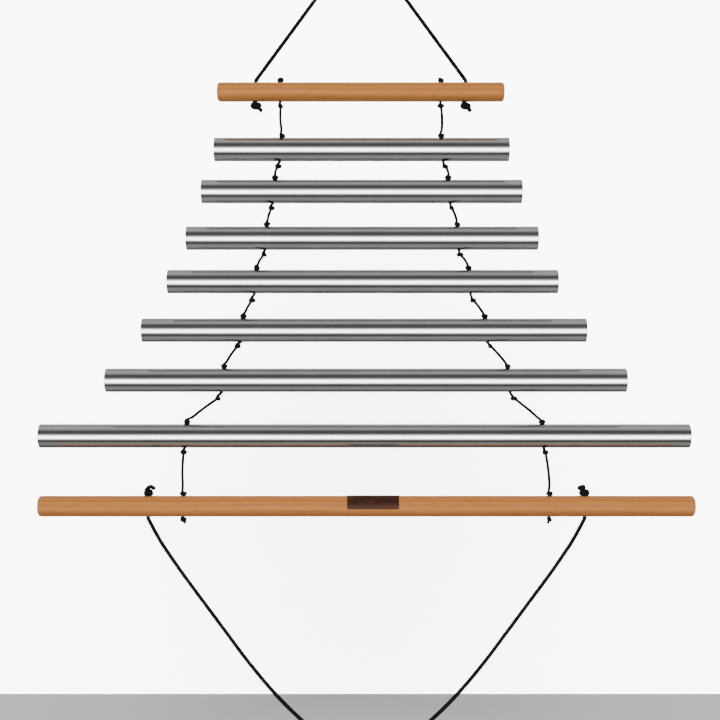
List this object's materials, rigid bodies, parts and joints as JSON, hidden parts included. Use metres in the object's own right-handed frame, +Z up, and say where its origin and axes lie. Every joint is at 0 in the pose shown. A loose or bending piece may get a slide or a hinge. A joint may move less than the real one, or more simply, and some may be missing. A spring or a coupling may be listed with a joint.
{
  "type": "hanging tube xylophone",
  "caption": "Hanging xylophone: metal tubes of stepped length strung on two knotted cords between two wooden rods, with a hanger cord above and a tie cord below.",
  "frame": {"origin": "underside of the hanger cord's bend, where a hook bears, at the middle of the top rod's length", "axes": "+X along the tubes and rods, +Y to the back, +Z up; the tubes hang at -Z, shortest at the top"},
  "size_m": [0.695, 0.025, 0.8631],
  "materials": {
    "tube": "brushed along the tube, clear",
    "rod": "oiled beech dowel",
    "string": "thin braided polyester, black",
    "thick_cord": "thick braided polyester, black",
    "label": "thin dark brown leather, blank"
  },
  "bodies": {
    "hanger": {"hanger_cord": "thick_cord"},
    "top_rod": {"top_rod": "rod", "left_hanger_knot": "thick_cord", "right_hanger_knot": "thick_cord", "left_string_0": "string", "right_string_0": "string"},
    "tube_1": {"tube_1": "tube", "left_string_1": "string", "right_string_1": "string"},
    "tube_2": {"tube_2": "tube", "left_string_2": "string", "right_string_2": "string"},
    "tube_3": {"tube_3": "tube", "left_string_3": "string", "right_string_3": "string"},
    "tube_4": {"tube_4": "tube", "left_string_4": "string", "right_string_4": "string"},
    "tube_5": {"tube_5": "tube", "left_string_5": "string", "right_string_5": "string"},
    "tube_6": {"tube_6": "tube", "left_string_6": "string", "right_string_6": "string"},
    "tube_7": {"tube_7": "tube", "left_string_7": "string", "right_string_7": "string"},
    "bottom_rod": {"bottom_rod": "rod", "label": "label", "left_tie_knot": "thick_cord", "right_tie_knot": "thick_cord", "left_string_8": "string", "right_string_8": "string"},
    "tie": {"tie_cord": "thick_cord"}
  },
  "joints": [
    {"name": "top_rod_swing", "type": "hinge", "parent": "hanger", "child": "top_rod", "pos_m": [0, 0, -0.143], "axis": [1, 0, 0], "range_deg": [-25, 25]},
    {"name": "tube_1_swing", "type": "hinge", "parent": "top_rod", "child": "tube_1", "pos_m": [0, 0, -0.169], "axis": [1, 0, 0], "range_deg": [-25, 25]},
    {"name": "tube_2_swing", "type": "hinge", "parent": "tube_1", "child": "tube_2", "pos_m": [0, 0, -0.23325], "axis": [1, 0, 0], "range_deg": [-25, 25]},
    {"name": "tube_3_swing", "type": "hinge", "parent": "tube_2", "child": "tube_3", "pos_m": [0, 0, -0.27725], "axis": [1, 0, 0], "range_deg": [-25, 25]},
    {"name": "tube_4_swing", "type": "hinge", "parent": "tube_3", "child": "tube_4", "pos_m": [0, 0, -0.32675], "axis": [1, 0, 0], "range_deg": [-25, 25]},
    {"name": "tube_5_swing", "type": "hinge", "parent": "tube_4", "child": "tube_5", "pos_m": [0, 0, -0.37525], "axis": [1, 0, 0], "range_deg": [-25, 25]},
    {"name": "tube_6_swing", "type": "hinge", "parent": "tube_5", "child": "tube_6", "pos_m": [0, 0, -0.42375], "axis": [1, 0, 0], "range_deg": [-25, 25]},
    {"name": "tube_7_swing", "type": "hinge", "parent": "tube_6", "child": "tube_7", "pos_m": [0, 0, -0.47925], "axis": [1, 0, 0], "range_deg": [-25, 25]},
    {"name": "bottom_rod_swing", "type": "hinge", "parent": "tube_7", "child": "bottom_rod", "pos_m": [0, 0, -0.53625], "axis": [1, 0, 0], "range_deg": [-25, 25]},
    {"name": "tie_swing", "type": "hinge", "parent": "bottom_rod", "child": "tie", "pos_m": [0, 0, -0.60625], "axis": [1, 0, 0], "range_deg": [-25, 25]}
  ]
}
